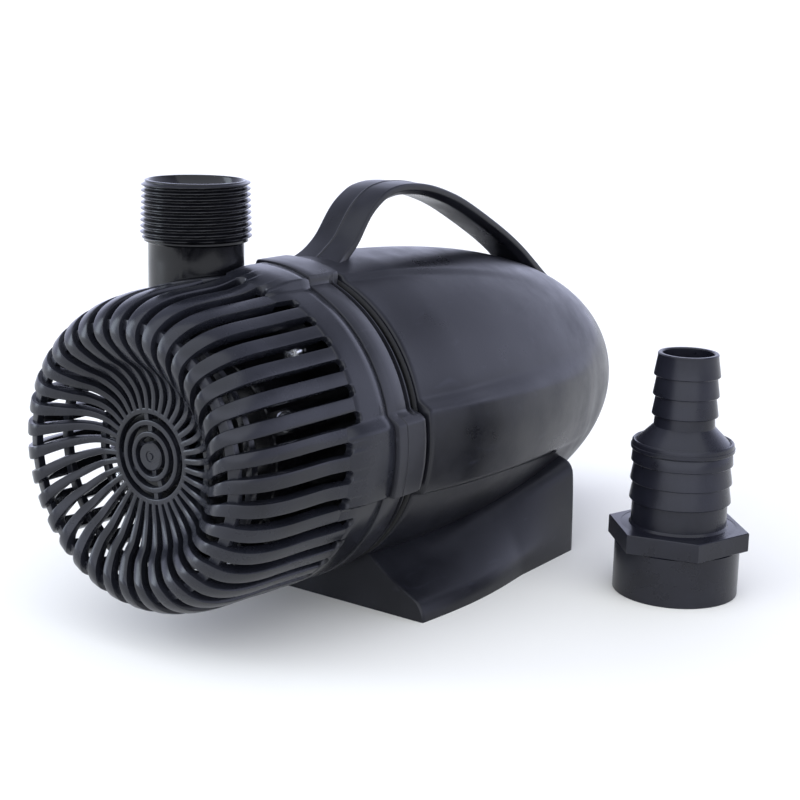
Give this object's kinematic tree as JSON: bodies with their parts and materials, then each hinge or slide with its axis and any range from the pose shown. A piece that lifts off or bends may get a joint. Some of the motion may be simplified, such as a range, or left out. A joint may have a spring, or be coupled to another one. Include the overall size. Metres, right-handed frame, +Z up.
{
  "type": "fountain submersible pump",
  "caption": "Submersible fountain pump: slotted strainer cage, threaded vertical outlet, domed motor casing with carry handle and foot, and a loose barbed hose adapter.",
  "frame": {"origin": "on the underside of the foot, on the pump's centre plane, 60 mm behind the front edge of the rear casing", "axes": "+Z up along the outlet, -Y along the motor axis towards the strainer cage, +X to the pump's right-hand side seen from the cage"},
  "size_m": [0.2159, 0.3123, 0.1669],
  "materials": {
    "shell_black": "satin black moulded plastic with a cool sheen",
    "ring_black": "satin black moulded plastic, slightly warmer than the shells",
    "gloss_black": "glossy black moulded plastic",
    "adapter_black": "satin black moulded plastic",
    "wheel_grey": "matt dark grey plastic",
    "seal_rubber": "matt black rubber",
    "steel": "bright stainless steel",
    "laminations": "stacked electrical steel",
    "copper": "enamelled copper wire",
    "resin": "dark potting resin",
    "ceramic": "off-white ceramic"
  },
  "bodies": {
    "pump_body": {"mounting_ring": "ring_black", "casing_seal": "seal_rubber", "rear_casing": "shell_black", "cable_gland_body": "gloss_black", "cable_gland_nut": "gloss_black", "volute_casing": "gloss_black", "volute_cover": "gloss_black", "volute_seal": "seal_rubber", "front_bush": "ceramic", "front_bearing_bracket": "gloss_black", "rear_bush": "ceramic", "rear_bush_holder": "seal_rubber", "rotor_well": "gloss_black", "stator_core": "laminations", "stator_winding": "copper", "potting_resin": "resin", "motor_can": "steel", "cover_screw_1": "steel", "cover_screw_2": "steel", "cover_screw_3": "steel", "cover_screw_4": "steel", "motor_screw_1": "steel", "motor_screw_2": "steel", "motor_screw_3": "steel", "motor_screw_4": "steel", "casing_screw_1": "steel", "casing_screw_2": "steel", "casing_screw_3": "steel", "casing_screw_4": "steel"},
    "rotor": {"impeller": "wheel_grey", "rotor_shaft": "steel", "rotor_core": "steel", "thrust_washer_front": "ceramic", "thrust_washer_rear": "ceramic"},
    "strainer": {"strainer_cage": "shell_black"},
    "adapter": {"hose_adapter": "adapter_black"}
  },
  "joints": [
    {"name": "rotor_spin", "type": "hinge", "parent": "pump_body", "child": "rotor", "pos_m": [0, -0.06, 0.0717], "axis": [0, 1, 0], "continuous": true},
    {"name": "strainer_pull", "type": "slide", "parent": "pump_body", "child": "strainer", "axis": [0, -1, 0], "range_m": [0, 0.09]},
    {"name": "adapter_lift", "type": "slide", "parent": "pump_body", "child": "adapter", "axis": [0, 0, 1], "range_m": [0, 0.1]}
  ]
}
